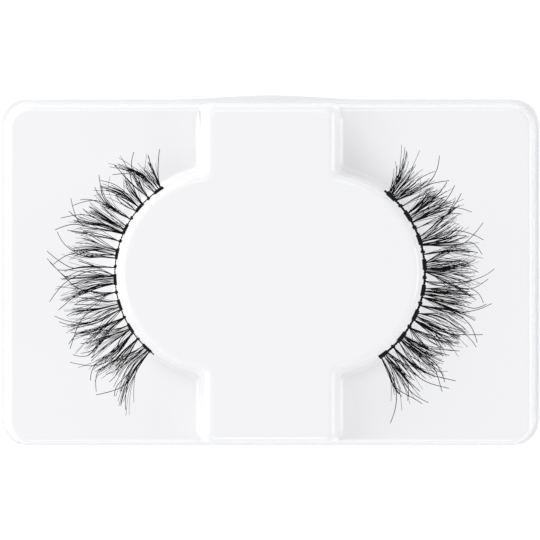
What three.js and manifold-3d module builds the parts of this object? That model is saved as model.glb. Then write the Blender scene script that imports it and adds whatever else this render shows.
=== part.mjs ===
// A pair of false eyelash strips on the moulded tray that they are kept on.
// Millimetres. X runs along the tray, Y from its front to its back, Z up from the surface that it rests on.

import * as THREE from 'three';
import { mergeVertices } from 'three/addons/utils/BufferGeometryUtils.js';
import Module from 'manifold-3d';

const wasm = await Module();
wasm.setup();

// Tray: one formed sheet, open underneath
const trayLength = 96.5;
const trayWidth = 62.7;
const trayCorner = 4.5;
const sheet = 0.5;

// Lip round the foot of the walls, trimmed nearly flush along the front
const sideLip = 0.85;
const backLip = 0.63;
const frontLip = 0.1;
const lipFillet = 0.5;
// The back lip swells outwards behind the raised band
const backBow = 0.75;
const bowReach = 18;

// Plateau and how far its walls spread on the way down
const plateauHeight = 8;
const sideWallRun = 0.75;
const backWallRun = 0.78;
const frontWallRun = 0.36;
const plateauCorner = 4.2;
const shoulder = 1;

// Raised band from front to back, and the round pad that bulges from it on both sides
const padRise = 5;
const bandHalf = 10.2;
const padRadius = 16.1;
const padSpread = 9.2;
const padShift = -0.4;
const padFillet = 1.4;
const footFillet = 1;
const padDraft = 15;
const endDraft = 4;
const endCorner = 1.2;
const cheek = 1.5;
// The fillet at the foot stops this many degrees short of the wall's own slope
const footStop = 8;

// Lash strips: a thread along the pad's wall, with knots that hold the locks of hair
const bandDrop = 1.3;
const bandRadius = 0.2;
const knotRadius = 0.28;
const seatGap = 0.3;
const knotPitch = 14.5;
const clusterSpan = 6;
const tieSpan = 1.4;
const hairReach = 10;
const lockWidth = 1.4;
const lockDepth = 0.5;
const curlLift = 4.6;
const curlPower = 1.7;
const leanPower = 1.5;

// Where each strip starts and ends, in degrees round its side of the pad, and its first cluster of hair
const leftStrip = { side: -1, start: 58.1, sweep: 109.8, firstCluster: 3.1 };
const rightStrip = { side: 1, start: 52.6, sweep: 108.9, firstCluster: 4.8 };

// Rows of locks, from the back end of the strip to its front end.
// at: degrees along the thread. to: where the tip points. reach: share of hairReach. wide: share of lockWidth.
const leftLocks = [
  { at: 1.4, to: -0.1, reach: 0.48, wide: 0.6 },
  { at: 4.1, to: 10.3, reach: 0.76, wide: 0.8 },
  { at: 10.3, to: 6.1, reach: 0.53, wide: 0.4 },
  { at: 14.9, to: 11.7, reach: 0.52, wide: 0.7 },
  { at: 17.6, to: 21.1, reach: 0.75, wide: 0.9 },
  { at: 25.9, to: 21.9, reach: 0.74, wide: 0.5 },
  { at: 30.3, to: 26.7, reach: 0.6, wide: 0.5 },
  { at: 32.4, to: 31.2, reach: 0.7, wide: 0.9 },
  { at: 34.8, to: 39.2, reach: 0.78, wide: 0.8 },
  { at: 39.7, to: 42.2, reach: 0.65, wide: 0.4 },
  { at: 44.9, to: 40.9, reach: 0.67, wide: 0.5 },
  { at: 45.9, to: 48.5, reach: 0.77, wide: 1 },
  { at: 49.2, to: 48.9, reach: 0.83, wide: 0.7 },
  { at: 54.4, to: 56.8, reach: 0.83, wide: 0.5 },
  { at: 59.1, to: 52.9, reach: 0.67, wide: 0.4 },
  { at: 60.1, to: 62.9, reach: 0.76, wide: 0.9 },
  { at: 63, to: 66.5, reach: 0.82, wide: 0.8 },
  { at: 68.3, to: 72.4, reach: 0.74, wide: 0.6 },
  { at: 73.1, to: 68.5, reach: 0.66, wide: 0.6 },
  { at: 74.9, to: 73.2, reach: 0.8, wide: 0.8 },
  { at: 76.5, to: 80.3, reach: 0.87, wide: 0.6 },
  { at: 78.2, to: 77.1, reach: 0.92, wide: 0.7 },
  { at: 83.1, to: 81.3, reach: 0.9, wide: 0.6 },
  { at: 83.3, to: 88.9, reach: 0.78, wide: 0.5 },
  { at: 88.9, to: 85.6, reach: 0.68, wide: 0.7 },
  { at: 90.8, to: 92.4, reach: 0.85, wide: 0.8 },
  { at: 92.9, to: 94.3, reach: 0.9, wide: 0.9 },
  { at: 97.1, to: 97.7, reach: 0.78, wide: 0.7 },
  { at: 97.5, to: 102.1, reach: 0.69, wide: 0.4 },
  { at: 102.1, to: 99.2, reach: 0.6, wide: 0.7 },
  { at: 103.9, to: 103, reach: 0.73, wide: 0.7 },
  { at: 106.6, to: 109.6, reach: 0.9, wide: 1.1 },
];

const rightLocks = [
  { at: 2.4, to: 0.9, reach: 0.5, wide: 1 },
  { at: 7.6, to: 8.2, reach: 0.56, wide: 0.9 },
  { at: 8.4, to: 12.9, reach: 0.66, wide: 0.7 },
  { at: 12.8, to: 15.8, reach: 0.62, wide: 0.8 },
  { at: 18.2, to: 15.8, reach: 0.55, wide: 0.8 },
  { at: 20.3, to: 20.2, reach: 0.73, wide: 1 },
  { at: 23.4, to: 24, reach: 0.72, wide: 0.9 },
  { at: 27.7, to: 28.1, reach: 0.73, wide: 0.7 },
  { at: 32.8, to: 27.6, reach: 0.78, wide: 0.7 },
  { at: 36.2, to: 34.6, reach: 0.7, wide: 0.8 },
  { at: 37.6, to: 41.4, reach: 0.74, wide: 0.8 },
  { at: 42.6, to: 44.3, reach: 0.79, wide: 0.6 },
  { at: 47.4, to: 44.2, reach: 0.68, wide: 0.6 },
  { at: 49.3, to: 48.8, reach: 0.67, wide: 1 },
  { at: 51, to: 49.6, reach: 0.8, wide: 0.9 },
  { at: 52.2, to: 55.2, reach: 0.81, wide: 0.8 },
  { at: 52.6, to: 60.2, reach: 0.78, wide: 0.5 },
  { at: 57.3, to: 56, reach: 0.8, wide: 0.6 },
  { at: 61.6, to: 59.8, reach: 0.7, wide: 0.9 },
  { at: 63.6, to: 62.2, reach: 0.83, wide: 0.9 },
  { at: 65.8, to: 65, reach: 0.72, wide: 1 },
  { at: 67, to: 69.2, reach: 0.8, wide: 0.8 },
  { at: 71.6, to: 68.9, reach: 0.82, wide: 0.7 },
  { at: 76, to: 75.2, reach: 0.8, wide: 0.9 },
  { at: 78, to: 78.4, reach: 0.83, wide: 1.1 },
  { at: 80.2, to: 84.9, reach: 0.75, wide: 0.9 },
  { at: 85, to: 81.2, reach: 0.83, wide: 0.6 },
  { at: 90.5, to: 86.8, reach: 0.77, wide: 0.7 },
  { at: 92, to: 91, reach: 0.76, wide: 1.1 },
  { at: 94, to: 94.3, reach: 0.87, wide: 0.9 },
  { at: 98.9, to: 96, reach: 0.85, wide: 0.7 },
  { at: 103.7, to: 101.4, reach: 0.64, wide: 0.9 },
  { at: 105.3, to: 105, reach: 0.75, wide: 1 },
  { at: 107.8, to: 110.8, reach: 0.74, wide: 1 },
];

// How a lock swells and thins from its knot to its tip
const lockShape = [
  { along: 0, width: 0.5, depth: 0.8 },
  { along: 0.3, width: 1, depth: 1 },
  { along: 0.65, width: 0.75, depth: 0.8 },
  { along: 1, width: 0.12, depth: 0.16 },
];

// Facets of the rounded edges
const filletSteps = 4;
const insideSteps = 2;
const cornerSteps = 5;
const cheekSteps = 3;
const padSteps = 30;
const bowSteps = 12;
const threadSteps = 26;
const threadSides = 6;

const white = new THREE.MeshStandardMaterial({ color: 0xf4f5f7, roughness: 0.22, metalness: 0 });
const black = new THREE.MeshStandardMaterial({ color: 0x0d0b0c, roughness: 0.55, metalness: 0 });

const radians = THREE.MathUtils.degToRad;

// Points of an arc, both ends included
function arcPoints(centreX, centreY, radius, from, to, steps) {
  const points = [];
  for (let i = 0; i <= steps; i += 1) {
    const angle = radians(from + ((to - from) * i) / steps);
    points.push(new THREE.Vector2(centreX + radius * Math.cos(angle), centreY + radius * Math.sin(angle)));
  }
  return points;
}

// Closed body through rings of points that run anticlockwise seen from +Z, listed from the bottom up
function loft(rings) {
  const count = rings[0].length;
  const positions = [];
  const corner = (point) => positions.push(point.x, point.y, point.z);
  for (let level = 0; level + 1 < rings.length; level += 1) {
    for (let i = 0; i < count; i += 1) {
      const next = (i + 1) % count;
      const [a, b] = [rings[level][i], rings[level][next]];
      const [c, d] = [rings[level + 1][next], rings[level + 1][i]];
      [a, b, c, a, c, d].forEach(corner);
    }
  }
  const flat = (ring) => ring.map((point) => new THREE.Vector2(point.x, point.y));
  const bottom = rings[0];
  const top = rings[rings.length - 1];
  for (const [a, b, c] of THREE.ShapeUtils.triangulateShape(flat(bottom), [])) {
    [bottom[c], bottom[b], bottom[a]].forEach(corner);
  }
  for (const [a, b, c] of THREE.ShapeUtils.triangulateShape(flat(top), [])) {
    [top[a], top[b], top[c]].forEach(corner);
  }
  const geometry = new THREE.BufferGeometry();
  geometry.setAttribute('position', new THREE.Float32BufferAttribute(positions, 3));
  return geometry;
}

function raise(outline, z) {
  return outline.map((point) => new THREE.Vector3(point.x, point.y, z));
}

function toSolid(geometry) {
  const bare = geometry.clone();
  bare.deleteAttribute('normal');
  bare.deleteAttribute('uv');
  const merged = mergeVertices(bare, 1e-5);
  return new wasm.Manifold(new wasm.Mesh({
    numProp: 3,
    vertProperties: new Float32Array(merged.attributes.position.array),
    triVerts: new Uint32Array(merged.index.array),
  }));
}

function toGeometry(solid) {
  const mesh = solid.getMesh();
  const geometry = new THREE.BufferGeometry();
  geometry.setAttribute('position', new THREE.BufferAttribute(new Float32Array(mesh.vertProperties), 3));
  geometry.setIndex(new THREE.BufferAttribute(new Uint32Array(mesh.triVerts), 1));
  geometry.computeVertexNormals();
  return geometry;
}

// Swell of the back lip at x
function bowAt(x) {
  return Math.abs(x) < bowReach ? backBow * Math.cos((Math.PI * x) / (2 * bowReach)) ** 2 : 0;
}

// Rectangle with round corners, whose back edge may swell
function roundedBox(edges, corner, bowed) {
  const { half, front, back } = edges;
  const radius = Math.max(corner, 0.1);
  const points = [
    ...arcPoints(half - radius, front + radius, radius, -90, 0, cornerSteps),
    ...arcPoints(half - radius, back - radius, radius, 0, 90, cornerSteps),
  ];
  if (bowed) {
    for (let i = 0; i <= bowSteps; i += 1) {
      const x = bowReach * (1 - (2 * i) / bowSteps);
      points.push(new THREE.Vector2(x, back + bowAt(x)));
    }
  }
  points.push(
    ...arcPoints(-half + radius, back - radius, radius, 90, 180, cornerSteps),
    ...arcPoints(-half + radius, front + radius, radius, 180, 270, cornerSteps),
  );
  return points;
}

// Edges of the wall's foot, and of the wall at a share of its way up
const lipEdges = { half: trayLength / 2, front: -trayWidth / 2, back: trayWidth / 2 - backBow };
const footEdges = {
  half: lipEdges.half - sideLip,
  front: lipEdges.front + frontLip,
  back: lipEdges.back - backLip,
};

function wallEdges(share, inset) {
  return {
    half: footEdges.half - sideWallRun * share - inset,
    front: footEdges.front + frontWallRun * share + inset,
    back: footEdges.back - backWallRun * share - inset,
  };
}

// Plateau from its open foot to its top, with the sheet's outside at inset 0 and its inside at inset sheet
function plateauSolid(inset, bottom) {
  const radius = shoulder - inset;
  const top = plateauHeight - inset;
  const wallTop = top - radius;
  const steps = inset === 0 ? filletSteps : insideSteps;
  const ringAt = (z, grow) => {
    const share = Math.min(Math.max(z / wallTop, 0), 1);
    const edges = wallEdges(share, inset - grow);
    return raise(roundedBox(edges, plateauCorner - inset + grow, false), z);
  };
  const rings = [ringAt(bottom, inset === 0 ? lipFillet : 0)];
  if (inset === 0) {
    for (let i = 0; i <= steps; i += 1) {
      const turn = radians((90 * i) / steps);
      rings.push(ringAt(sheet + lipFillet * (1 - Math.cos(turn)), lipFillet * (1 - Math.sin(turn))));
    }
  } else {
    rings.push(ringAt(0, 0));
  }
  for (let i = 0; i <= steps; i += 1) {
    const turn = radians((90 * i) / steps);
    rings.push(ringAt(wallTop + radius * Math.sin(turn), -radius * (1 - Math.cos(turn))));
  }
  return toSolid(loft(rings));
}

// Outline of the raised band and its round pad, grown sideways by grow, with its ends at front and back
function raisedOutline(grow, front, back) {
  const half = bandHalf + grow;
  const radius = padRadius + grow;
  const reach = radius + cheek;
  const across = half + cheek - padSpread;
  const rise = Math.sqrt(reach * reach - across * across);
  const turn = THREE.MathUtils.radToDeg(Math.atan2(rise, across));
  const rightHalf = [
    ...arcPoints(half - endCorner, front + endCorner, endCorner, -90, 0, cheekSteps),
    ...arcPoints(half + cheek, padShift - rise, cheek, 180, 180 - turn, cheekSteps),
    ...arcPoints(padSpread, padShift, radius, -turn, turn, padSteps).slice(1, -1),
    ...arcPoints(half + cheek, padShift + rise, cheek, 180 + turn, 180, cheekSteps),
    ...arcPoints(half - endCorner, back - endCorner, endCorner, 0, 90, cheekSteps),
  ];
  const leftHalf = rightHalf.map((point) => new THREE.Vector2(-point.x, point.y)).reverse();
  return [...rightHalf, ...leftHalf];
}

const padTop = plateauHeight + padRise;

// Run of the raised wall at height z, measured from the edge of the flat top
function wallRun(z, inset, draft) {
  const radius = padFillet - inset;
  const wallTop = padTop - inset - radius * (1 - Math.sin(radians(padDraft)));
  return radius * Math.cos(radians(padDraft)) + (wallTop - z) * Math.tan(radians(draft));
}

// Ends of the flat top, so that the end walls stand on the same foot line as the plateau's walls
const endRun = wallRun(0, 0, endDraft);
const flatFront = footEdges.front + endRun;
const flatBack = footEdges.back - endRun;

// Raised band and pad, without the fillet at the foot
function raisedSolid(inset, bottom) {
  const radius = padFillet - inset;
  const top = padTop - inset;
  const base = plateauHeight - inset;
  const ringAt = (z, side, end) => raise(raisedOutline(side, flatFront - end, flatBack + end), z);
  const rings = [
    ringAt(bottom, wallRun(base, inset, padDraft), wallRun(bottom, inset, endDraft)),
    ringAt(base, wallRun(base, inset, padDraft), wallRun(base, inset, endDraft)),
  ];
  const steps = inset === 0 ? filletSteps : insideSteps;
  for (let i = steps; i >= 0; i -= 1) {
    const turn = radians(((90 - padDraft) * i) / steps);
    const run = radius * Math.sin(turn);
    rings.push(ringAt(top - radius * (1 - Math.cos(turn)), run, run));
  }
  return toSolid(loft(rings));
}

// Concave fillet where the raised walls meet the plateau, kept short of the plateau's own edge
function footSolid(inset) {
  const radius = footFillet + inset;
  const base = plateauHeight - inset;
  const meet = base + radius * (1 - Math.sin(radians(padDraft)));
  const spread = wallRun(meet, inset, padDraft) + radius * Math.cos(radians(padDraft));
  const front = footEdges.front + frontWallRun + shoulder;
  const back = footEdges.back - backWallRun - shoulder;
  const ringAt = (z, side) => {
    const draw = Math.max(z - base, 0);
    return raise(raisedOutline(side, front + draw, back - draw), z);
  };
  const rings = [ringAt(base - shoulder / 2, spread)];
  const stop = 90 - padDraft - footStop;
  const steps = inset === 0 ? filletSteps : insideSteps;
  for (let i = 0; i <= steps; i += 1) {
    const turn = radians((stop * i) / steps);
    rings.push(ringAt(base + radius * (1 - Math.cos(turn)), spread - radius * Math.sin(turn)));
  }
  const last = base + radius * (1 - Math.cos(radians(stop)));
  rings.push(ringAt(last, wallRun(last, inset, padDraft) - sheet / 2));
  return toSolid(loft(rings));
}

function makeTray() {
  const under = -1;
  const lip = roundedBox(lipEdges, trayCorner, true);
  const lipPlate = toSolid(loft([raise(lip, 0), raise(lip, sheet)]));
  const trim = toSolid(loft([raise(lip, under), raise(lip, padTop + 1)]));
  const outside = plateauSolid(0, 0).add(raisedSolid(0, 0)).add(footSolid(0)).add(lipPlate).intersect(trim);
  const hollow = plateauSolid(sheet, under).add(raisedSolid(sheet, under)).add(footSolid(sheet));
  return toGeometry(outside.subtract(hollow));
}

// Height of the thread, and the circle that it follows round the pad's wall
const bandHeight = padTop - bandDrop;
const stripRadius = padRadius + wallRun(bandHeight, 0, padDraft) + seatGap + knotRadius;

// Point beside the pad: along in degrees down the strip, out in millimetres from the thread
function stripPoint(strip, along, out, up) {
  const angle = radians(strip.start - along);
  const radius = stripRadius + out;
  return new THREE.Vector3(
    strip.side * (padSpread + radius * Math.cos(angle)),
    padShift + radius * Math.sin(angle),
    bandHeight + up,
  );
}

// Round rod along the strip between two angles
function stripRod(strip, from, to, radius, steps) {
  const points = [];
  for (let i = 0; i <= steps; i += 1) {
    points.push(stripPoint(strip, from + ((to - from) * i) / steps, 0, 0));
  }
  const path = new THREE.CatmullRomCurve3(points);
  const section = new THREE.Shape(arcPoints(0, 0, radius, 0, 360 - 360 / threadSides, threadSides - 1));
  return toSolid(new THREE.ExtrudeGeometry(section, { steps, extrudePath: path, bevelEnabled: false }));
}

// One tapered lock: it leaves its knot, leans towards its tip and curls upwards
function lockSolid(strip, lock) {
  const rings = lockShape.map((station) => {
    const share = station.along;
    const along = lock.at + (lock.to - lock.at) * share ** leanPower;
    const out = lock.reach * hairReach * share;
    const up = curlLift * (lock.reach * share) ** curlPower;
    const centre = stripPoint(strip, along, out, up);
    const angle = radians(strip.start - along);
    const sideways = new THREE.Vector3(-strip.side * Math.sin(angle), Math.cos(angle), 0);
    const halfWidth = (lockWidth * lock.wide * station.width) / 2;
    const halfDepth = (lockDepth * station.depth) / 2;
    return [[1, 0], [0, 1], [-1, 0], [0, -1]].map(([across, over]) => centre.clone()
      .addScaledVector(sideways, across * halfWidth)
      .add(new THREE.Vector3(0, 0, over * halfDepth)));
  });
  return toSolid(tube(rings, strip.side < 0));
}

// Closed body through four-cornered sections, from the first to the last
function tube(rings, mirrored) {
  const positions = [];
  const facet = (...points) => {
    const order = mirrored ? points.reverse() : points;
    order.forEach((point) => positions.push(point.x, point.y, point.z));
  };
  for (let level = 0; level + 1 < rings.length; level += 1) {
    for (let i = 0; i < 4; i += 1) {
      const next = (i + 1) % 4;
      facet(rings[level][i], rings[level][next], rings[level + 1][next]);
      facet(rings[level][i], rings[level + 1][next], rings[level + 1][i]);
    }
  }
  const [first, last] = [rings[0], rings[rings.length - 1]];
  facet(first[2], first[1], first[0]);
  facet(first[3], first[2], first[0]);
  facet(last[0], last[1], last[2]);
  facet(last[0], last[2], last[3]);
  const geometry = new THREE.BufferGeometry();
  geometry.setAttribute('position', new THREE.Float32BufferAttribute(positions, 3));
  return geometry;
}

// Thread, knots and locks of one strip in one body
function makeLash(strip, locks) {
  let lash = stripRod(strip, 0, strip.sweep, bandRadius, threadSteps);
  const last = strip.sweep - strip.firstCluster;
  for (let middle = strip.firstCluster; middle < last + knotPitch / 2; middle += knotPitch) {
    const from = Math.max(middle - clusterSpan / 2, -tieSpan / 4);
    const to = Math.min(middle + clusterSpan / 2, strip.sweep + tieSpan / 4);
    lash = lash.add(stripRod(strip, from, to, knotRadius, 1));
    const tie = middle + knotPitch / 2;
    if (tie < last) {
      lash = lash.add(stripRod(strip, tie - tieSpan / 2, tie + tieSpan / 2, knotRadius, 1));
    }
  }
  for (const lock of locks) {
    lash = lash.add(lockSolid(strip, lock));
  }
  return toGeometry(lash);
}

function piece(name, geometry, material) {
  const mesh = new THREE.Mesh(geometry, material);
  mesh.name = name;
  return mesh;
}

const model = new THREE.Group();
model.add(piece('tray', makeTray(), white));
model.add(piece('left_lash', makeLash(leftStrip, leftLocks), black));
model.add(piece('right_lash', makeLash(rightStrip, rightLocks), black));

export default model;
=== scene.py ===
"""Looks of a pair of false eyelash strips on their moulded tray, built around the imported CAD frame."""

import math
import random
from typing import NamedTuple

import bmesh
import bpy
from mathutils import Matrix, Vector


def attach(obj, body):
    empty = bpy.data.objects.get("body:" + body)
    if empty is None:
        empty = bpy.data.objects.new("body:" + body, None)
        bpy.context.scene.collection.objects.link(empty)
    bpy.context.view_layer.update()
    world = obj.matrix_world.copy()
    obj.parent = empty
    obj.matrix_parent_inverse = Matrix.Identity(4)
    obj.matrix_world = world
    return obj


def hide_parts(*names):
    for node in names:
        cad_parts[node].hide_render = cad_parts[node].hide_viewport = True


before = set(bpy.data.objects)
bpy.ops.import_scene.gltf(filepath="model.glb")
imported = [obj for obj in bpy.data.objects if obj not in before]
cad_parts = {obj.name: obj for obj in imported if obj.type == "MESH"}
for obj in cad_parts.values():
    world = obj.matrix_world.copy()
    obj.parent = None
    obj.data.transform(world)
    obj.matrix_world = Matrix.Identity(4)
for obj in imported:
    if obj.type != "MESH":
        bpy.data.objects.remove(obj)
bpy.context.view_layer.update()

bl_info = {
    "name": "False eyelash strips",
    "version": (1, 0, 0),
    "blender": (4, 5, 0),
    "location": "View3D > Sidebar > Lashes",
    "description": "Builds the hair, the thread and the tray of a pair of strip lashes",
    "category": "Object",
}

MM = 0.001

# The thread's line beside the pad, in millimetres, as the CAD source has it
STRIP_RADIUS = 18.1
BAND_HEIGHT = 11.7
KNOT_PITCH = 14.5
CLUSTER_SPAN = 6
TIE_SPAN = 1.4

# How a hair lifts on its way out: to full lift where it reaches this far from the thread
HAIR_REACH = 10
CURL_POWER = 1.7

# How a hair parts from its route and thins towards its tip, as powers of the share of its length
SPLAY_POWER = 1.4
TAPER_POWER = 1.6

# A hair is thinner at its root, and grows to full thickness at this rate over its length
ROOT_THICKNESS = 0.7
SWELL_RATE = 2.5

# A drawn hair stands for about three of those that a chart counts
DRAWN_SHARE = 0.32
FEWEST_DRAWN = 2

# Hairs differ in their height beside the thread, in millimetres, and in their lift. The height is reached at
# this rate over a hair's length.
HEIGHT_RANGE = (-0.08, 0.12)
LIFT_RANGE = (0.88, 1.12)
SETTLE_RATE = 4

# What is drawn at random for each kind of hair. Lengths are shares of the route and thicknesses shares of the
# hair's radius. Root, bow and splay are millimetres sideways. A pair is a range, and BOW, SPLAY and SPREAD are
# the width of a normal draw.
LOCK_LENGTH, LOCK_LENGTH_SPREAD, LOCK_THICKNESS = 1.1, 0.13, (0.9, 1.2)
LOCK_ROOT, LOCK_BOW, LOCK_SPLAY = 0.07, 0.22, 0.36
FILL_LENGTH, FILL_THICKNESS = (0.75, 1.2), (0.7, 1)
FILL_SPLAY = 0.45
LOOSE_LENGTH, LOOSE_THICKNESS = (0.85, 1.3), (0.5, 0.85)
LOOSE_ROOT, LOOSE_SPLAY = 0.1, 1.1
STRAY_THICKNESS = (1.15, 1.35)
STRAY_ROOT = 0.08

# A hair of the gap between two bundles ends at a share of the way across it, and gets there at this rate
FILL_RANGE = (0.1, 0.9)
FILL_RATE = 1.6

# Points along a hair, and in one turn of a coil
HAIR_STEPS = 10
STRAY_STEPS = 20
COIL_STEPS = 10

# Sides of the tubes
HAIR_SIDES = 6
THREAD_SIDES = 8

# The thread, in millimetres: the pitch of its twist, and the wrap's pitch, radius and distance
# from the thread. The angles are where a wrap may begin, in radians, and the share is a ply's radius as
# part of the thread's.
TWIST_PITCH = 0.9
WRAP_PITCH = 0.21
WRAP_RADIUS = 0.1
WRAP_OFFSET = 0.09
WRAP_ANGLES = (0, 6)
PLY_SHARE = 0.52

# The tight root of a bundle, in millimetres: its radius, and how far on and how much thinner each next
# point is
ROOT_RADIUS = 0.15
ROOT_STEP = 0.15
ROOT_THINNING = 0.025
ROOT_POINTS = 5

# The tray's mesh: points this close are one, faces this flat are joined, and edges sharper than this
# stay sharp
WELD_DISTANCE = 0.001 * MM
FLAT_ANGLE = math.radians(0.6)
SHARP_ANGLE = math.radians(50)
FACE_WEIGHT = 60

# The stage, in metres
LIGHT_SIZE = 0.35
LIGHT_DISTANCE = 0.7
FLOOR_HALF = 3
CAMERA_CLIP = (0.01, 20)

# Sockets of a mix node that mixes colours: its two colours and its result
MIX_A, MIX_B, MIX_RESULT = 6, 7, 2

# The tray's grain is this many times lower than its ripple
GRAIN_DIVISOR = 40

# Hair charts, read from the strips. A row of a bundle starts with its number of hairs.
# Then come the points of its route, each as degrees along the thread and millimetres out from it.
LEFT_BUNDLES = (
    (8, (1.4, 0), (-0.1, 4.7)),
    (3, (1.7, 0), (0.7, 3.9)),
    (3, (2.7, 0), (2.5, 4.4)),
    (9, (4.1, 0), (4.6, 3.7), (6.1, 4.7), (8.1, 5.9), (10.3, 7.5)),
    (5, (5.6, 0), (6.6, 4.6)),
    (5, (10.3, 0), (9.1, 2.5), (7.6, 3.5), (6.1, 5.3)),
    (4, (10.3, 0), (10.3, 7.7)),
    (7, (14.9, 0), (13.6, 2.3), (11.6, 5.1)),
    (4, (15.3, 0), (14.1, 3.2), (12.7, 5.1)),
    (8, (17.6, 0), (17.6, 2.8), (19.6, 5.8), (21.4, 7.3)),
    (5, (17.8, 0), (17.9, 2.8), (18.7, 4.7), (20.1, 6.1)),
    (5, (20.3, 0), (21.1, 2.8), (20.1, 4.9)),
    (4, (25.9, 0), (26.6, 3.5), (24.1, 6.3), (21.9, 7.3)),
    (4, (26, 0), (25.7, 1.9), (27.1, 5.9)),
    (6, (30.3, 0), (29.6, 2.5), (26.7, 5.9)),
    (8, (32.4, 0), (31.6, 2.8), (31.4, 5.4), (31.1, 7)),
    (5, (32.9, 0), (32.4, 3.5), (32.1, 6.3)),
    (6, (34.5, 0), (34.5, 3.7), (36.1, 6.3), (36.6, 8.2)),
    (5, (35.1, 0), (36.1, 3.2), (38.1, 5.8), (39.6, 7.2)),
    (6, (39.5, 0), (39.8, 3.2), (41.1, 6.5)),
    (5, (44.9, 0), (43.6, 2.5), (41.1, 5.3), (40.9, 6.6)),
    (10, (45.7, 0), (45.6, 3.7), (47.1, 5.9), (48.5, 7.5)),
    (5, (47.6, 0), (48.1, 4.6), (48.6, 6.5)),
    (5, (49.2, 0), (49.6, 2.8), (50.9, 5.1), (49.9, 6.6), (48.9, 8.2)),
    (6, (54.4, 0), (54.6, 3.7), (55.3, 6.3), (56.8, 8.2)),
    (5, (59.1, 0), (56.4, 2.1), (54.6, 3.7), (52.7, 6.6)),
    (6, (59.1, 0), (59.4, 3.7), (60.4, 8)),
    (6, (60.4, 0), (60.3, 3.7), (62.1, 6.3), (63.1, 7.5)),
    (5, (61.8, 0), (62.6, 1.9), (63.6, 5.4), (65.1, 7.5)),
    (5, (63.4, 0), (64.1, 2.8), (66.1, 5.4), (67.7, 8.4)),
    (5, (68.1, 0), (68.3, 1.9), (69.9, 2.8), (72.1, 4.6), (73.1, 7.3)),
    (8, (68.1, 0), (68.1, 2.5), (66.1, 4.2), (65.3, 7.5)),
    (5, (73.1, 0), (72.3, 2.5), (70.1, 3.7), (68.7, 6.3)),
    (9, (74.9, 0), (74.4, 3.7), (73.6, 5.8), (72.9, 7.9)),
    (6, (76.5, 0), (76.5, 2.5), (77.8, 3.7), (79.1, 5.1), (80.4, 8.6)),
    (6, (78.2, 0), (78.7, 2.5), (79.4, 4.6), (77.6, 7.7), (76.8, 9.1)),
    (2, (78.3, 0), (80.1, 1.6), (82.1, 3.3), (84.1, 5.1), (86.1, 7.2)),
    (6, (83.1, 0), (82.9, 1.9), (82.4, 5.4), (81.7, 7.5), (80.7, 9.1)),
    (5, (83.3, 0), (84.6, 2.8), (86.1, 4), (89.1, 6.8), (90.1, 7.9)),
    (5, (88.1, 0), (87.3, 2.5), (84.1, 4.6), (82.1, 7)),
    (6, (90.1, 0), (88.1, 3.7), (86.9, 5.4), (86.7, 7.5)),
    (9, (90.6, 0), (90.6, 2.8), (91.1, 5.4), (92.4, 8.4)),
    (5, (92.4, 0), (94.1, 1.6), (96.1, 2.5), (97.6, 6.6)),
    (5, (93.1, 0), (94.9, 2.8), (94.9, 6.3), (93.4, 8.9)),
    (6, (97.1, 0), (97.3, 2.8), (98.1, 4.6), (98.7, 5.6), (97.4, 7.7)),
    (4, (97.3, 0), (100.1, 2.5), (101.1, 4.6), (102.1, 6.8)),
    (5, (102.1, 0), (100.9, 2.5), (99.1, 4.7), (98.8, 5.8)),
    (6, (103.6, 0), (102.6, 2.8), (101.6, 4.6), (103.1, 7.2)),
    (7, (105.5, 0), (104.9, 2.8), (106.6, 5.4), (109.4, 8.2)),
    (9, (106.9, 0), (106.9, 2.8), (108.1, 5.4), (108.9, 7.3), (111.6, 10.1)),
)

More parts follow.
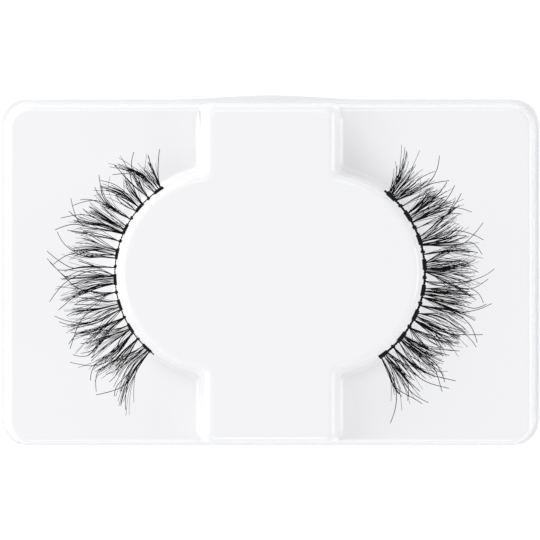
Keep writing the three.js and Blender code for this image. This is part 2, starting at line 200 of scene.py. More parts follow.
LEFT_STRAYS = (
    ((1.4, 0), (0.3, 1.6), (-2.9, 3.5), (-7.1, 6.1)),
    ((1.7, 0), (0.4, 3.7), (-1.9, 6.1)),
    ((4.1, 0), (4.6, 3.7), (6.1, 4.7), (8.1, 5.9), (2.4, 7.9)),
    ((4.1, 0), (4.6, 3.7), (6.1, 4.7), (8.1, 5.9), (10.1, 8)),
    ((10.3, 0), (9.1, 2.5), (7.6, 3.5), (7.6, 4.6), (10.1, 5.8), (14.6, 7.3)),
    ((25.9, 0), (26.6, 3.5), (24.1, 6.3), (21.4, 7.3), (18.1, 9)),
    ((17.6, 0), (16.1, 3.7), (17.1, 6.3), (19.4, 8.2)),
    ((25.9, 0), (26.6, 3.5), (25.1, 6.5), (22.7, 8.3)),
    ((35.1, 0), (36.1, 3.2), (38.1, 5.8), (38.1, 7.7), (35.6, 8.9), (30.7, 10.8)),
    ((25.9, 0), (26.6, 3.5), (25.6, 6.3), (28.1, 8), (32.6, 9.9)),
    ((26, 0), (25.7, 1.9), (27.1, 5.9), (27.1, 7.7), (29.7, 9.3)),
    ((34.5, 0), (34.4, 4.2), (33.1, 7.2), (32.1, 8.2)),
    ((32.4, 0), (31.6, 2.8), (31.4, 5.4), (30.1, 7.2)),
    ((34.5, 0), (34.5, 3.7), (36.1, 6.3), (36.6, 8.2), (35.1, 10.1)),
    ((32.9, 0), (32.4, 3.5), (33.6, 7.3), (35.6, 8.9), (38.4, 11)),
    ((35.1, 0), (36.1, 3.2), (38.1, 5.8), (38.1, 7.9), (39.6, 9.4), (42.8, 11.3)),
    ((44.9, 0), (43.6, 2.5), (41.1, 5.3), (40.9, 6.6), (41.8, 9.3)),
    ((39.5, 0), (39.8, 3.2), (41.1, 6.5), (41.8, 8.6)),
    ((49.2, 0), (49.6, 2.8), (50.9, 5.1), (49.9, 6.6), (48.1, 8.6), (46.1, 9.8), (43.3, 10.9)),
    ((54.4, 0), (54.6, 3.7), (55.3, 6.3), (56, 7.2), (54.6, 8.6), (53.1, 9.9), (50.4, 11.9)),
    ((49.2, 0), (49.6, 2.8), (50.9, 5.1), (49.9, 6.6), (50.1, 7.9), (52.1, 9.3), (54.9, 10.8)),
    ((63.4, 0), (64.1, 2.8), (66.1, 5.9), (59.6, 8.4), (56.6, 9.8), (52.9, 11.7)),
    ((59.1, 0), (59.4, 3.7), (60.5, 8), (57.5, 9.4), (54.1, 11.2)),
    ((54.4, 0), (54.6, 3.7), (55.3, 6.3), (56.8, 8.2), (56.6, 9.8)),
    ((59.1, 0), (56.4, 2.1), (56.6, 4.7), (60.9, 8.4), (63.1, 9.6), (67.5, 11.6)),
    ((63.4, 0), (64.1, 2.8), (66.1, 5.4), (67.8, 9.6)),
    ((63.4, 0), (64.1, 2.8), (66.1, 5.4), (67.6, 7.5), (69.4, 8.9), (70.9, 10.4)),
    ((73.1, 0), (72.3, 2.5), (70.1, 3.7), (68.7, 6.3), (70.4, 7.5)),
    ((78.2, 0), (78.7, 2.5), (79.4, 4.6), (78.1, 7), (75.1, 9.8), (72.6, 11.3)),
    ((78.2, 0), (78.7, 2.5), (79.4, 4.6), (78.9, 7.3), (77.4, 9.3), (74.9, 10.8)),
    ((74.9, 0), (74.4, 3.7), (73.6, 5.8), (72.9, 7.9), (73.6, 9.3)),
    ((83.1, 0), (82.9, 1.9), (82.4, 5.4), (81.7, 7.5), (80.9, 8.8), (83.4, 10.7)),
    ((74.9, 0), (74.4, 3.7), (74.6, 5.9), (78.1, 7.9), (82.1, 9.4), (85.1, 10.8)),
    ((83.1, 0), (82.9, 1.9), (82.4, 5.4), (81.7, 7.5), (79.9, 9.6)),
    ((78.3, 0), (80.1, 1.6), (82.1, 3.3), (84.1, 5.1), (85.5, 6.6), (84.1, 8.1)),
    ((90.1, 0), (88.1, 3.7), (86.9, 5.4), (86.4, 7.5), (85.1, 8.8)),
    ((83.3, 0), (84.6, 2.8), (86.1, 4), (89.1, 6.8), (91.1, 8.9), (87.4, 10.8)),
    ((83.3, 0), (84.6, 2.8), (86.1, 4), (89.1, 6.8), (89.9, 7.7), (88.3, 9.6)),
    ((92.4, 0), (94.1, 1.6), (96.1, 2.5), (97.6, 6.3), (94.4, 9.3), (92.1, 10.3), (89.1, 11.9)),
    ((93.1, 0), (94.9, 2.8), (94.9, 6.3), (94.6, 9.3), (98.1, 10.9)),
    ((97.1, 0), (97.3, 2.8), (98.1, 4.6), (98.7, 5.6), (97.4, 7.7), (96.9, 9.3), (102.3, 11.4)),
    ((97.1, 0), (97.3, 2.8), (98.1, 4.6), (98.7, 5.6), (97.4, 7.7), (96.8, 9.3)),
    ((97.1, 0), (97.3, 2.8), (98.1, 4.6), (98.7, 5.6), (99.3, 7.3)),
    ((106.9, 0), (106.9, 2.8), (108.1, 5.4), (108.9, 7.2), (106.4, 9.4), (103.1, 11.8)),
    ((105.5, 0), (104.9, 2.8), (106.6, 5.4), (105.6, 8.4), (108, 9.9)),
    ((97.3, 0), (100.1, 2.5), (101.1, 4.6), (102.1, 6.8), (100.1, 8.2)),
    ((103.6, 0), (102.6, 2.8), (101.6, 4.6), (103.1, 7.2), (103.1, 8.7)),
    ((106.9, 0), (106.9, 2.8), (108.1, 5.4), (108.9, 7.3), (111.9, 10.5)),
    ((106.9, 0), (106.9, 2.8), (108.1, 5.4), (108.9, 7.3), (114.1, 10.6)),
)

RIGHT_BUNDLES = (
    (5, (2.4, 0), (1.1, 4.2)),
    (3, (3.2, 0), (2.6, 3.2), (2, 4.6)),
    (4, (4.3, 0), (3.6, 1.9), (2.1, 3.2), (0.6, 4.7), (-2.2, 7.2)),
    (4, (5.1, 0), (4.2, 4.7), (3.4, 6.5)),
    (6, (6.3, 0), (7.2, 4.7)),
    (6, (8.1, 0), (8.9, 5.4)),
    (9, (8.4, 0), (10.6, 2.1), (12.1, 4), (12.9, 6.3)),
    (6, (12.8, 0), (14.8, 5.1), (16.3, 6.5)),
    (5, (18.1, 0), (16.6, 3.7), (15, 5.1)),
    (5, (18.3, 0), (18, 3.2), (17.4, 5.9)),
    (10, (20.3, 0), (20, 2.5), (19.3, 4.6), (20.2, 7.2)),
    (6, (21.1, 0), (21, 6.3)),
    (6, (23.4, 0), (23.9, 4.2), (23.8, 7.7)),
    (6, (23.6, 0), (25.1, 4.6), (26.1, 5.9)),
    (6, (27.7, 0), (27.7, 5.4), (28, 7.2)),
    (10, (32.8, 0), (30.6, 2.5), (28.8, 4), (27.6, 6.3), (26.6, 7.9)),
    (6, (34.6, 0), (33.6, 3.2), (32.1, 5.8)),
    (9, (35.6, 0), (35.8, 3.7), (35.4, 5.1), (34.3, 6.5)),
    (10, (37.6, 0), (39.6, 3.2), (40.6, 4.9), (41.4, 7)),
    (6, (37.1, 0), (38.1, 4), (37.1, 5.8), (35.6, 7.5)),
    (9, (42.6, 0), (42.6, 4.6), (43.3, 5.4), (44.4, 7.7)),
    (10, (47.3, 0), (44.8, 2.3), (43.3, 4), (43.4, 5.6), (44.4, 7.7)),
    (6, (47.4, 0), (47.1, 2.5), (47.6, 4.6), (48.6, 6.5)),
    (6, (49.4, 0), (49.4, 3.2), (49.2, 6.5)),
    (15, (51, 0), (51.1, 2.8), (50.8, 5.1), (49.4, 7.7)),
    (8, (52.2, 0), (53.4, 4.9), (55.2, 7.9)),
    (10, (52.4, 0), (54.6, 1.9), (56.6, 3.2), (58.1, 4.7), (59.3, 6.3), (60.6, 7.7)),
    (7, (57.4, 0), (57.9, 1.1), (57.8, 2.8), (57.1, 6.3), (56, 8)),
    (6, (61.6, 0), (60.1, 3.2), (59.2, 6.3)),
    (8, (63.4, 0), (62.1, 3.7), (61.2, 8)),
    (8, (64.8, 0), (64.4, 3.5), (63.8, 7)),
    (7, (66.6, 0), (66.2, 3.5), (65.7, 7.2)),
    (7, (66.6, 0), (67.6, 2.8), (69.2, 7.7)),
    (10, (71.6, 0), (70.1, 3.2), (69.1, 5.4), (68.8, 8)),
    (6, (71.4, 0), (70.6, 4.6), (72, 7.5)),
    (6, (75.9, 0), (75.1, 1.4), (73.6, 2.8), (73.1, 4.2), (75.1, 7.7)),
    (11, (77.6, 0), (77.6, 4.6), (78.6, 8)),
    (6, (80, 0), (79.9, 4.6), (78.6, 6.5), (78.2, 8)),
    (10, (80.2, 0), (81.6, 3.7), (83.1, 5.4), (85, 7.2)),
    (6, (85, 0), (83.6, 4.6), (82.1, 6.8), (80.6, 8.6)),
    (5, (85, 0), (86.1, 1.1), (88.1, 2.8), (88.6, 4.6)),
    (6, (90.6, 0), (88.8, 3.2), (88.4, 4.9), (86.6, 7.3)),
    (6, (90.8, 0), (91.3, 2.8), (90.9, 4.6), (90.1, 6.6)),
    (7, (92.6, 0), (92.1, 5.4), (91.4, 7.5)),
    (7, (93.6, 0), (94.1, 4.2), (94.2, 8.4)),
    (7, (94.9, 0), (97.1, 2.5), (97.6, 4.2), (96.6, 6.6)),
    (7, (99.1, 0), (98.6, 4.6), (96.8, 7.2), (95.1, 8.9)),
    (6, (99.2, 0), (99.8, 2.8), (100.9, 6.8)),
    (9, (103.6, 0), (101.4, 2.8), (101.6, 5.9)),
    (6, (105.1, 0), (104.6, 3.2), (104.2, 6.3)),
    (7, (106.3, 0), (105.6, 4.6), (106.9, 8)),
    (7, (107.9, 0), (109.1, 3.7), (110.6, 5.4), (112.1, 6.8)),
)

RIGHT_STRAYS = (
    ((4.3, 0), (3.6, 1.9), (2.1, 3.2), (0.6, 4.7), (-2.2, 7.7)),
    ((2.4, 0), (-0.7, 2.7)),
    ((8.1, 0), (8.1, 5.9), (10.6, 8.4)),
    ((8.4, 0), (10.6, 2.1), (12.1, 4), (12.9, 6.3), (10.6, 9.1), (7.6, 10.8)),
    ((8.4, 0), (10.6, 2.1), (12.1, 4), (12.6, 5.9), (14.1, 7.3), (16.6, 9.3)),
    ((20.3, 0), (20, 2.5), (19.3, 4.6), (18.6, 6.6), (16.6, 8.9)),
    ((23.4, 0), (23.6, 5.1), (21.1, 8), (19.2, 9.6)),
    ((20.3, 0), (20, 2.5), (19.3, 4.6), (19.4, 7.9)),
    ((32.8, 0), (30.6, 2.5), (28.8, 4), (27.6, 6.3), (25.6, 8), (22.9, 9.9)),
    ((23.4, 0), (23.9, 4.2), (24.6, 6.5), (28.6, 9.1), (30.6, 10.1)),
    ((27.7, 0), (27.7, 5.4), (28, 7.2), (29.9, 8.4)),
    ((23.4, 0), (23.9, 4.2), (24, 7.7)),
    ((32.8, 0), (30.6, 2.5), (28.8, 4), (27.6, 6.3), (26.4, 8.7)),
    ((37.6, 0), (39.6, 3.2), (40.6, 4.9), (41.6, 7), (38.3, 9.4), (35.4, 11.3)),
    ((35.6, 0), (35.8, 3.7), (35.4, 5.1), (34.3, 6.3), (38.6, 9.3), (41.2, 10.6)),
    ((37.6, 0), (39.6, 3.2), (40.6, 4.9), (41.4, 7), (40.6, 8.4), (43.1, 9.4), (46.1, 10)),
    ((42.6, 0), (42.6, 4.6), (43.3, 5.4), (44.4, 7.7), (45.4, 9.4)),
    ((37.1, 0), (38.1, 4), (36.8, 6.1), (38.3, 7.9)),
    ((51, 0), (51.1, 2.8), (50.8, 5.1), (48.1, 8.7)),
    ((51, 0), (51.1, 2.8), (50.8, 5.1), (51.1, 8), (52.6, 9.2)),
    ((57.4, 0), (57.9, 1.1), (57.8, 2.8), (57.1, 6.3), (56.2, 7.5), (54.1, 10.3), (51.4, 11.9)),
    ((52.4, 0), (54.6, 1.9), (56.6, 3.2), (58.1, 4.7), (59.3, 6.3), (59.6, 7.7), (57.6, 9.4), (54.9, 10.9)),
    ((52.4, 0), (54.6, 1.9), (56.6, 3.2), (58.1, 4.7), (59.3, 6.3), (58.6, 8.4), (60.6, 9.8), (63.4, 10.6)),
    ((63.4, 0), (62.1, 3.7), (61.2, 8), (62.9, 9.3)),
    ((63.4, 0), (62.1, 3.7), (61.3, 8.7)),
    ((71.6, 0), (70.1, 3.2), (69.1, 5.4), (69.1, 7.2), (66.1, 10.1), (63.1, 11.9)),
    ((66.6, 0), (66.2, 3.5), (65.7, 7.2), (66.6, 9.3), (63.6, 11.1)),
    ((64.8, 0), (64.4, 3.5), (63.8, 7), (64.6, 8.6)),
    ((66.6, 0), (67.6, 2.8), (69.2, 7.7), (70.2, 9.9)),
    ((66.6, 0), (67.6, 2.8), (70.4, 7.9), (72.6, 9.8), (77.1, 11.6)),
    ((80, 0), (79.9, 4.6), (78.4, 7.3), (75.6, 10.1), (73.9, 11.9)),
    ((75.9, 0), (75.1, 1.4), (73.6, 2.8), (73.1, 4.2), (75.3, 7.5), (76.6, 10.1), (78.6, 11.8)),
    ((75.9, 0), (75.1, 1.4), (73.6, 2.8), (73.1, 4.2), (75.1, 7.7), (74.4, 9)),
    ((85, 0), (83.6, 4.6), (82.6, 6.3), (79.9, 9)),
    ((90.6, 0), (88.8, 3.2), (88.4, 4.9), (85.9, 6.5), (82.5, 9.6)),
    ((85, 0), (86.1, 1.1), (88.1, 2.8), (88.6, 5.1), (85.9, 8.5)),
    ((90.8, 0), (91.3, 2.8), (90.9, 4.6), (90.1, 6.6), (89.1, 8.4)),
    ((99.1, 0), (98.6, 4.6), (96.6, 8), (94.6, 9.3), (91.9, 11.9)),
    ((92.6, 0), (92.1, 5.4), (91.2, 7.3), (93.6, 9.9), (94.6, 10.7)),
    ((99.2, 0), (99.8, 2.8), (100.6, 7.3), (96.6, 10.6), (95.2, 11.9)),
    ((92.6, 0), (92.1, 5.4), (92.1, 7), (96.1, 10.1), (97.6, 11.4)),
    ((105.1, 0), (104.6, 3.2), (104.2, 6.3), (103.4, 8.9)),
    ((107.9, 0), (109.1, 3.7), (110.6, 5.4), (109.6, 6.8), (106.3, 9.4), (105.6, 10.8)),
    ((106.3, 0), (105.6, 4.6), (106.9, 8), (103.6, 11.3)),
    ((105.1, 0), (104.6, 3.2), (103.6, 6.1), (109.1, 8.9)),
    ((107.9, 0), (109.1, 3.7), (110.6, 5.4), (110.1, 7.9)),
    ((107.9, 0), (109.1, 3.7), (109.6, 5.4), (113.1, 8.4), (118.5, 10.9)),
)


class Strip(NamedTuple):
    """One strip of the pair: where it lies round the pad, and its hair.

    Its thread runs on a circle whose centre is spread and shift millimetres from the middle of the pad. It
    begins at start degrees and runs for sweep degrees. first_cluster is the middle of its first wound knot,
    in degrees from there. fill is the number of hairs between two bundles, loose the number of crossing
    hairs for one hair of the chart, and thread scales the thread's radius.
    """

    name: str
    side: int
    spread: float
    shift: float
    start: float
    sweep: float
    first_cluster: float
    bundles: tuple
    strays: tuple
    fill: int
    loose: float
    thread: float
    seed: int


STRIPS = (
    Strip(
        name="left", side=-1, spread=9.3, shift=-0.72, start=58.1, sweep=109.8, first_cluster=3.1,
        bundles=LEFT_BUNDLES, strays=LEFT_STRAYS, fill=3, loose=0.54, thread=0.75, seed=11),
    Strip(
        name="right", side=1, spread=9.27, shift=-0.4, start=52.6, sweep=108.9, first_cluster=4.8,
        bundles=RIGHT_BUNDLES, strays=RIGHT_STRAYS, fill=4, loose=0.615, thread=1.4, seed=23),
)


def linear(hex_colour):
    """Linear RGBA of an sRGB colour such as "f4f5f8"."""
    channels = [int(hex_colour[i:i + 2], 16) / 255 for i in (0, 2, 4)]
    return [c / 12.92 if c <= 0.04045 else ((c + 0.055) / 1.055) ** 2.4 for c in channels] + [1]


class TraySettings(bpy.types.PropertyGroup):
    """What can be set on the tray"""

    colour: bpy.props.FloatVectorProperty(
        name="Plastic colour", description="Colour of the formed sheet",
        default=linear("f3f3f4"), size=4, subtype="COLOR", min=0, max=1)
    roughness: bpy.props.FloatProperty(
        name="Roughness", description="How blurred the sheet's gloss is",
        default=0.16, subtype="FACTOR", min=0, max=1)
    ripple: bpy.props.FloatProperty(
        name="Ripple", description="Height of the shallow ripple left by forming",
        default=0.006 * MM, unit="LENGTH", min=0)


class HairSettings(bpy.types.PropertyGroup):
    """What can be set on the hair and its thread"""

    colour: bpy.props.FloatVectorProperty(
        name="Hair colour", description="Colour of the dyed fibre",
        default=linear("040303"), size=4, subtype="COLOR", min=0, max=1)
    radius: bpy.props.FloatProperty(
        name="Hair radius", description="Radius of a hair where it is thickest",
        default=0.058 * MM, unit="LENGTH", min=0)
    tip: bpy.props.FloatProperty(
        name="Tip", description="Radius at the tip as a share of the thickest part's",
        default=0.75, subtype="FACTOR", min=0, max=1)
    lift: bpy.props.FloatProperty(
        name="Curl lift", description="How far a hair of full reach curls up",
        default=4.6 * MM, unit="LENGTH", min=0)
    thread: bpy.props.FloatProperty(
        name="Thread radius", description="Radius of the twisted thread that carries the hair",
        default=0.17 * MM, unit="LENGTH", min=0)


class StageSettings(bpy.types.PropertyGroup):
    """What can be set on the lights and the camera"""

    key: bpy.props.FloatProperty(
        name="Key light", description="Power of the soft light on the left",
        default=0.75, unit="POWER", min=0)
    front: bpy.props.FloatProperty(
        name="Front light", description="Power of the soft light in front",
        default=0.95, unit="POWER", min=0)
    top: bpy.props.FloatProperty(
        name="Top light", description="Power of the high soft light behind",
        default=0.5, unit="POWER", min=0)
    left: bpy.props.FloatProperty(
        name="Low left light", description="Power of the low light on the left",
        default=0.7, unit="POWER", min=0)
    right: bpy.props.FloatProperty(
        name="Low right light", description="Power of the low light on the right",
        default=1.1, unit="POWER", min=0)
    back: bpy.props.FloatProperty(
        name="Low back light", description="Power of the low light behind on the left",
        default=1.1, unit="POWER", min=0)
    ambient: bpy.props.FloatProperty(
        name="Ambient light", description="Strength of the even light all round",
        default=0.64, min=0)
    camera_height: bpy.props.FloatProperty(
        name="Camera height", description="Height of the camera over the floor",
        default=0.72, unit="LENGTH", min=0)
    lens: bpy.props.FloatProperty(
        name="Lens", description="Focal length of the camera",
        default=267.3, unit="CAMERA", min=1)


# Materials


def node(tree, kind, links=None, **settings):
    """A new node with its settings.

    links maps an input's name or number to a value or to another node's output.
    """
    made = tree.nodes.new(kind)
    for name, value in settings.items():
        setattr(made, name, value)
    for socket, value in (links or {}).items():
        if isinstance(value, bpy.types.NodeSocket):
            tree.links.new(value, made.inputs[socket])
        else:
            made.inputs[socket].default_value = value
    return made


def new_material(name):
    """A material with its tree, its surface shader and its object coordinates."""
    material = bpy.data.materials.new(name)
    material.use_nodes = True
    tree = material.node_tree
    tree.nodes.clear()
    shader = node(tree, "ShaderNodeBsdfPrincipled")
    output = node(tree, "ShaderNodeOutputMaterial")
    tree.links.new(shader.outputs["BSDF"], output.inputs["Surface"])
    place = node(tree, "ShaderNodeTexCoord").outputs["Object"]
    return material, tree, shader, place


def per_metre(millimetres):
    """Scale of a noise pattern whose marks are this far apart."""
    return 1 / (millimetres * MM)


def formed_polystyrene(settings):
    """Thermoformed glossy polystyrene: clean white, with soft ripples and small sharp glints in its gloss.

    The ripples lie 11 mm apart and the clouds of its tint 30 mm. The real grain is finer than 0.6 mm, and
    it is drawn that coarse so that it shows.
    """
    material, tree, shader, place = new_material("thermoformed_polystyrene")
    shader.inputs["IOR"].default_value = 1.55
    ripple = node(tree, "ShaderNodeTexNoise", {"Vector": place, "Scale": per_metre(11), "Detail": 2})
    grain = node(tree, "ShaderNodeTexNoise", {"Vector": place, "Scale": per_metre(0.6), "Detail": 3})
    wave = node(tree, "ShaderNodeBump", {
        "Height": ripple.outputs["Fac"], "Strength": 1, "Distance": settings.ripple})
    bump = node(tree, "ShaderNodeBump", {
        "Height": grain.outputs["Fac"], "Strength": 0.25, "Distance": settings.ripple / GRAIN_DIVISOR,
        "Normal": wave.outputs["Normal"]})
    tree.links.new(bump.outputs["Normal"], shader.inputs["Normal"])
    cloud = node(tree, "ShaderNodeTexNoise", {"Vector": place, "Scale": per_metre(30), "Detail": 2})
    darker = [c * 0.994 for c in settings.colour[:3]] + [1]
    tint = node(tree, "ShaderNodeMix", {
        "Factor": cloud.outputs["Fac"], MIX_A: darker, MIX_B: settings.colour}, data_type="RGBA")
    tree.links.new(tint.outputs[MIX_RESULT], shader.inputs["Base Color"])
    gloss = node(tree, "ShaderNodeMapRange", {
        "Value": grain.outputs["Fac"],
        "To Min": settings.roughness * 0.85, "To Max": settings.roughness * 1.15})
    tree.links.new(gloss.outputs["Result"], shader.inputs["Roughness"])
    return material


def lash_fibre(settings):
    """Dyed polyester lash fibre: near black, with a faint silky shine along each hair."""
    material, tree, shader, place = new_material("dyed_lash_fibre")
    shader.inputs["IOR"].default_value = 1.5
    shader.inputs["Specular IOR Level"].default_value = 0.1
    streak = node(tree, "ShaderNodeTexNoise", {"Vector": place, "Scale": per_metre(0.8), "Detail": 2})
    paler = [c * 2.2 for c in settings.colour[:3]] + [1]
    tint = node(tree, "ShaderNodeMix", {
        "Factor": streak.outputs["Fac"], MIX_A: settings.colour, MIX_B: paler}, data_type="RGBA")
    tree.links.new(tint.outputs[MIX_RESULT], shader.inputs["Base Color"])
    gloss = node(tree, "ShaderNodeMapRange", {"Value": streak.outputs["Fac"], "To Min": 0.45, "To Max": 0.6})
    tree.links.new(gloss.outputs["Result"], shader.inputs["Roughness"])
    return material


def cotton_thread():
    """Waxed cotton thread: brownish black and dull, with a faint fuzz of fibres."""
    material, tree, shader, place = new_material("waxed_cotton_thread")
    fuzz = node(tree, "ShaderNodeTexNoise", {"Vector": place, "Scale": per_metre(0.15), "Detail": 3})
    tint = node(tree, "ShaderNodeMix", {
        "Factor": fuzz.outputs["Fac"], MIX_A: linear("060505"), MIX_B: linear("17120f")}, data_type="RGBA")
    tree.links.new(tint.outputs[MIX_RESULT], shader.inputs["Base Color"])
    bump = node(tree, "ShaderNodeBump", {
        "Height": fuzz.outputs["Fac"], "Strength": 0.6, "Distance": 0.03 * MM})
    tree.links.new(bump.outputs["Normal"], shader.inputs["Normal"])
    shader.inputs["Roughness"].default_value = 0.75
    shader.inputs["Specular IOR Level"].default_value = 0.25
    return material


def white_paper():
    """Matt white studio paper: plain and even."""
    material, _, shader, _ = new_material("matt_white_paper")
    shader.inputs["Base Color"].default_value = linear("ffffff")
    shader.inputs["Roughness"].default_value = 0.9
    shader.inputs["Specular IOR Level"].default_value = 0
    shader.inputs["Emission Color"].default_value = linear("ffffff")
    shader.inputs["Emission Strength"].default_value = 0.1
    return material


# Hair


def strip_point(strip, along, out, up):
    """Point beside the pad: degrees along the thread, then metres out from it and up from it."""
    angle = math.radians(strip.start - along)
    radius = STRIP_RADIUS * MM + out
    return Vector((
        strip.side * (strip.spread * MM + radius * math.cos(angle)),
        strip.shift * MM + radius * math.sin(angle),
        BAND_HEIGHT * MM + up,
    ))


def route_at(route, share):
    """Degrees along and millimetres out at a share of the way through a route.

    The route is a cubic B-spline that begins and ends on its first and last point, because both ends are
    mirrored. Past its end it runs straight on.
    """
    spans = len(route) - 1
    place = min(max(share, 0), 1) * spans
    i = min(int(place), spans - 1)
    u = place - i
    start, end = route[i], route[i + 1]
    before = route[i - 1] if i else [2 * b - c for b, c in zip(start, end)]
    after = route[i + 2] if i + 2 <= spans else [2 * c - b for b, c in zip(start, end)]
    weights = ((1 - u) ** 3, 3 * u ** 3 - 6 * u * u + 4, 3 * (u + u * u - u ** 3) + 1, u ** 3)
    past = max(share - 1, 0) * spans
    return [
        sum(w * p for w, p in zip(weights, four)) / 6 + past * (four[2] - four[1])
        for four in zip(before, start, end, after)
    ]


def hair(strip, settings, draw, way, steps=HAIR_STEPS, length=1.0, root=0.0, bow=0.06, splay=0.0, thick=1.0):
    """Points and radii of one hair.

    way gives the route at a share of its length. root, bow and splay are millimetres sideways, at the root,
    half way and at the tip. thick scales the radius.
    """
    points, radii = [], []
    bend = draw.gauss(0, bow)
    height = draw.uniform(*HEIGHT_RANGE)
    lift = settings.lift * draw.uniform(*LIFT_RANGE)
    for i in range(steps + 1):
        part = i / steps
        share = part * length
        along, out = way(share)
        sideways = root * (1 - share) + splay * share ** SPLAY_POWER + bend * math.sin(math.pi * share)
        along += math.degrees(sideways / (STRIP_RADIUS + out))
        up = lift * (max(out, 0) / HAIR_REACH) ** CURL_POWER + height * MM * min(part * SETTLE_RATE, 1)
        points.append(strip_point(strip, along, out * MM, up))
        swell = ROOT_THICKNESS + (1 - ROOT_THICKNESS) * min(part * SWELL_RATE, 1)
        taper = 1 - (1 - settings.tip) * part ** TAPER_POWER
        radii.append(settings.radius * thick * swell * taper)
    return points, radii


def bundle_hairs(strip, settings, draw):
    """Hairs of every bundle: they leave the knot together and part towards their tips."""
    hairs = []
    for count, *route in strip.bundles:
        for _ in range(max(round(count * DRAWN_SHARE), FEWEST_DRAWN)):
            hairs.append(hair(
                strip, settings, draw, lambda share: route_at(route, share),
                length=LOCK_LENGTH - abs(draw.gauss(0, LOCK_LENGTH_SPREAD)),
                root=draw.uniform(-LOCK_ROOT, LOCK_ROOT), bow=LOCK_BOW,
                splay=draw.gauss(0, LOCK_SPLAY), thick=draw.uniform(*LOCK_THICKNESS)))
    return hairs


def fill_hairs(strip, settings, draw):
    """Loose hairs in the gap between two bundles of one knot."""
    hairs = []
    for (_, *first), (_, *second) in zip(strip.bundles, strip.bundles[1:]):
        if abs(first[0][0] - second[0][0]) > CLUSTER_SPAN / 2:
            continue
        for _ in range(strip.fill):
            mix = draw.uniform(*FILL_RANGE)
            root = draw.choice((0, 0.5, 1))

            def between(share):
                part = root + (mix - root) * min(share * FILL_RATE, 1)
                return [a + (b - a) * part for a, b in zip(route_at(first, share), route_at(second, share))]

            hairs.append(hair(
                strip, settings, draw, between, length=draw.uniform(*FILL_LENGTH),
                splay=draw.gauss(0, FILL_SPLAY), thick=draw.uniform(*FILL_THICKNESS)))
    return hairs


def loose_hairs(strip, settings, draw):
    """Fine hairs that part from their bundle on the way out and cross its neighbours."""
    hairs = []
    for count, *route in strip.bundles:
        for _ in range(round(count * strip.loose)):
            hairs.append(hair(
                strip, settings, draw, lambda share: route_at(route, share),
                length=draw.uniform(*LOOSE_LENGTH), root=draw.uniform(-LOOSE_ROOT, LOOSE_ROOT),
                splay=draw.gauss(0, LOOSE_SPLAY), thick=draw.uniform(*LOOSE_THICKNESS)))
    return hairs


def stray_hairs(strip, settings, draw):
    """Single long hairs that leave their bundle."""
    return [
        hair(
            strip, settings, draw, lambda share, route=route: route_at(route, share), STRAY_STEPS,
            root=draw.uniform(-STRAY_ROOT, STRAY_ROOT), thick=draw.uniform(*STRAY_THICKNESS))
        for route in strip.strays
    ]


def tubes(name, paths, sides, material):
    """One mesh of round tubes with closed ends, from lists of points and radii."""
    curve = bpy.data.curves.new(name, "CURVE")
    curve.dimensions = "3D"
    curve.bevel_depth = 1
    # A round bevel has four sides and two more for each step of its resolution
    curve.bevel_resolution = (sides - 4) // 2
    curve.use_fill_caps = True
    for points, radii in paths:
        spline = curve.splines.new("POLY")
        spline.points.add(len(points) - 1)
        spline.points.foreach_set("co", [c for p in points for c in (*p, 1)])
        spline.points.foreach_set("radius", radii)
    carrier = bpy.data.objects.new(name + "_path", curve)
    bpy.context.scene.collection.objects.link(carrier)
    bpy.context.view_layer.update()
    shape = carrier.evaluated_get(bpy.context.evaluated_depsgraph_get())
    mesh = bpy.data.meshes.new_from_object(shape)
    bpy.data.objects.remove(carrier)
    piece = finished(name, mesh, material)
    # A product shot lit from all round shows next to no shade under hair and thread
    piece.visible_shadow = piece.visible_diffuse = False
    return piece


def finished(name, mesh, material):
    """A smooth object for a mesh, with its material, riding on the part."""
    mesh.name = name
    mesh.materials.clear()
    mesh.materials.append(material)
    mesh.shade_smooth()
    piece = bpy.data.objects.new(name, mesh)
    bpy.context.scene.collection.objects.link(piece)
    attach(piece, "root")
    return piece


# Thread


def coil(strip, begin, end, offset, radius, turns, phase):
    """A tube that winds round the thread's line between two angles, its middle at offset from that line."""
    steps = max(int(turns * COIL_STEPS), 2)
    points = []
    for i in range(steps + 1):
        part = i / steps
        turn = phase + 2 * math.pi * turns * part
        points.append(strip_point(
            strip, begin + (end - begin) * part, offset * math.cos(turn), offset * math.sin(turn)))
    return points, [radius] * (steps + 1)


def knot_places(strip):
    """Angles from and to of each wound cluster and each single tie."""
    last = strip.sweep - strip.first_cluster
    middle = strip.first_cluster
    clusters, ties = [], []
    while middle < last + KNOT_PITCH / 2:
        clusters.append((max(middle - CLUSTER_SPAN / 2, 0), min(middle + CLUSTER_SPAN / 2, strip.sweep)))
        tie = middle + KNOT_PITCH / 2
        if tie < last:
            ties.append((tie - TIE_SPAN / 2, tie + TIE_SPAN / 2))
        middle += KNOT_PITCH
    return clusters, ties


def thread_tubes(strip, settings, draw):
    """Two plies twisted along the strip, wound over at each knot, with a tight root at each bundle."""
    thread = settings.thread * strip.thread
    turns = math.radians(strip.sweep) * STRIP_RADIUS / TWIST_PITCH
    paths = [
        coil(strip, 0, strip.sweep, thread * (1 - PLY_SHARE), thread * PLY_SHARE, turns, phase)
        for phase in (0, math.pi)
    ]
    clusters, ties = knot_places(strip)
    for begin, end in clusters + ties:
        turns = math.radians(end - begin) * STRIP_RADIUS / WRAP_PITCH
        paths.append(coil(
            strip, begin, end, thread + WRAP_OFFSET * MM, WRAP_RADIUS * MM, turns,
            draw.uniform(*WRAP_ANGLES)))
    for _, (at, _), (after, out), *_ in strip.bundles:
        slope = (after - at) / out
        points, radii = [], []
        for step in range(ROOT_POINTS):
            reach = ROOT_STEP * step
            points.append(strip_point(strip, at + slope * reach, reach * MM, 0))
            radii.append((ROOT_RADIUS - ROOT_THINNING * step) * MM)
        paths.append((points, radii))
    return paths


# Operators


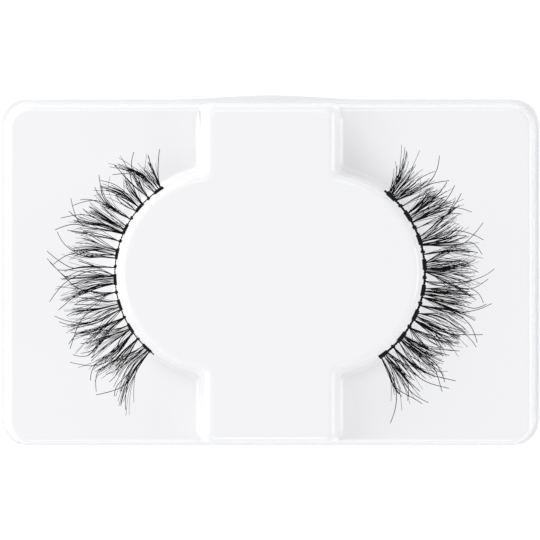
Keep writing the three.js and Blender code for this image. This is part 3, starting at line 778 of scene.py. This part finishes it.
class LASHES_OT_tray(bpy.types.Operator):
    """Dress the formed tray in glossy plastic with soft edges"""

    bl_idname = "lashes.tray"
    bl_label = "Tray"

    def execute(self, context):
        settings = context.scene.lash_tray
        bm = bmesh.new()
        bm.from_mesh(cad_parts["tray"].data)
        bmesh.ops.remove_doubles(bm, verts=bm.verts, dist=WELD_DISTANCE)
        bmesh.ops.dissolve_degenerate(bm, edges=bm.edges, dist=WELD_DISTANCE)
        bmesh.ops.dissolve_limit(bm, angle_limit=FLAT_ANGLE, verts=bm.verts, edges=bm.edges)
        mesh = bpy.data.meshes.new("formed_tray")
        bm.to_mesh(mesh)
        bm.free()
        tray = finished("formed_tray", mesh, formed_polystyrene(settings))
        mesh.set_sharp_from_angle(angle=SHARP_ANGLE)
        soften = tray.modifiers.new("soft_edges", "WEIGHTED_NORMAL")
        soften.mode = "FACE_AREA"
        soften.weight = FACE_WEIGHT
        soften.keep_sharp = True
        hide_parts("tray")
        return {"FINISHED"}


class LASHES_OT_thread(bpy.types.Operator):
    """Twist the thread of both strips and wind its knots"""

    bl_idname = "lashes.thread"
    bl_label = "Thread"

    def execute(self, context):
        settings = context.scene.lash_hair
        cotton = cotton_thread()
        for strip in STRIPS:
            draw = random.Random(strip.seed)
            paths = thread_tubes(strip, settings, draw)
            tubes(strip.name + "_thread", paths, THREAD_SIDES, cotton)
        return {"FINISHED"}


class LASHES_OT_hair(bpy.types.Operator):
    """Grow the hair of both strips from the thread"""

    bl_idname = "lashes.hair"
    bl_label = "Hair"

    def execute(self, context):
        settings = context.scene.lash_hair
        fibre = lash_fibre(settings)
        for strip in STRIPS:
            draw = random.Random(strip.seed)
            hairs = (
                bundle_hairs(strip, settings, draw)
                + fill_hairs(strip, settings, draw)
                + loose_hairs(strip, settings, draw)
                + stray_hairs(strip, settings, draw)
            )
            piece = tubes(strip.name + "_hair", hairs, HAIR_SIDES, fibre)
            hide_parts(strip.name + "_lash")
        return {"FINISHED"}


def soft_light(name, power, turn, rise):
    """A square area light aimed at the tray. turn is degrees round from +X, rise degrees over the floor."""
    light = bpy.data.lights.new(name, "AREA")
    light.energy = power
    light.size = LIGHT_SIZE
    lamp = bpy.data.objects.new(name, light)
    bpy.context.scene.collection.objects.link(lamp)
    a, e = math.radians(turn), math.radians(rise)
    aim = Vector((math.cos(a) * math.cos(e), math.sin(a) * math.cos(e), math.sin(e)))
    lamp.location = aim * LIGHT_DISTANCE
    lamp.rotation_euler = (-lamp.location).to_track_quat("-Z", "Y").to_euler()
    lamp.visible_camera = False


class LASHES_OT_stage(bpy.types.Operator):
    """Lay the paper floor and set the lights and the camera"""

    bl_idname = "lashes.stage"
    bl_label = "Stage"

    def execute(self, context):
        settings = context.scene.lash_stage
        scene = context.scene
        bm = bmesh.new()
        bmesh.ops.create_grid(bm, x_segments=1, y_segments=1, size=FLOOR_HALF)
        mesh = bpy.data.meshes.new("paper_floor")
        bm.to_mesh(mesh)
        bm.free()
        mesh.materials.append(white_paper())
        floor = bpy.data.objects.new("paper_floor", mesh)
        scene.collection.objects.link(floor)

        soft_light("key_light", settings.key, turn=180, rise=35)
        soft_light("front_light", settings.front, turn=270, rise=35)
        soft_light("top_light", settings.top, turn=90, rise=60)
        soft_light("low_left_light", settings.left, turn=180, rise=14)
        soft_light("low_right_light", settings.right, turn=0, rise=14)
        soft_light("low_back_light", settings.back, turn=125, rise=14)

        world = bpy.data.worlds.new("even_light")
        world.use_nodes = True
        background = world.node_tree.nodes["Background"]
        background.inputs["Color"].default_value = linear("fdfdff")
        background.inputs["Strength"].default_value = settings.ambient
        scene.world = world

        camera = bpy.data.cameras.new("camera")
        camera.lens = settings.lens
        camera.clip_start, camera.clip_end = CAMERA_CLIP
        stand = bpy.data.objects.new("camera", camera)
        stand.location = (0, 0, settings.camera_height)
        scene.collection.objects.link(stand)
        scene.camera = stand
        scene.view_settings.view_transform = "Standard"
        return {"FINISHED"}


class LASHES_PT_sidebar(bpy.types.Panel):
    """Lists what builds the lashes"""

    bl_label = "Lashes"
    bl_space_type = "VIEW_3D"
    bl_region_type = "UI"
    bl_category = "Lashes"

    def draw(self, context):
        for operator in OPERATORS:
            self.layout.operator(operator.bl_idname)
        for _, name in SETTINGS:
            group = getattr(context.scene, name)
            box = self.layout.box()
            for prop in group.bl_rna.properties:
                if prop.identifier not in {"name", "rna_type"}:
                    box.prop(group, prop.identifier)


OPERATORS = (LASHES_OT_tray, LASHES_OT_thread, LASHES_OT_hair, LASHES_OT_stage)
SETTINGS = ((TraySettings, "lash_tray"), (HairSettings, "lash_hair"), (StageSettings, "lash_stage"))
CLASSES = (*(group for group, _ in SETTINGS), *OPERATORS, LASHES_PT_sidebar)


def register():
    for made in CLASSES:
        bpy.utils.register_class(made)
    for group, name in SETTINGS:
        setattr(bpy.types.Scene, name, bpy.props.PointerProperty(type=group))


def unregister():
    for _, name in SETTINGS:
        delattr(bpy.types.Scene, name)
    for made in reversed(CLASSES):
        bpy.utils.unregister_class(made)


def main():
    register()
    bpy.ops.lashes.tray()
    bpy.ops.lashes.thread()
    bpy.ops.lashes.hair()
    bpy.ops.lashes.stage()


if __name__ == "__main__":
    main()
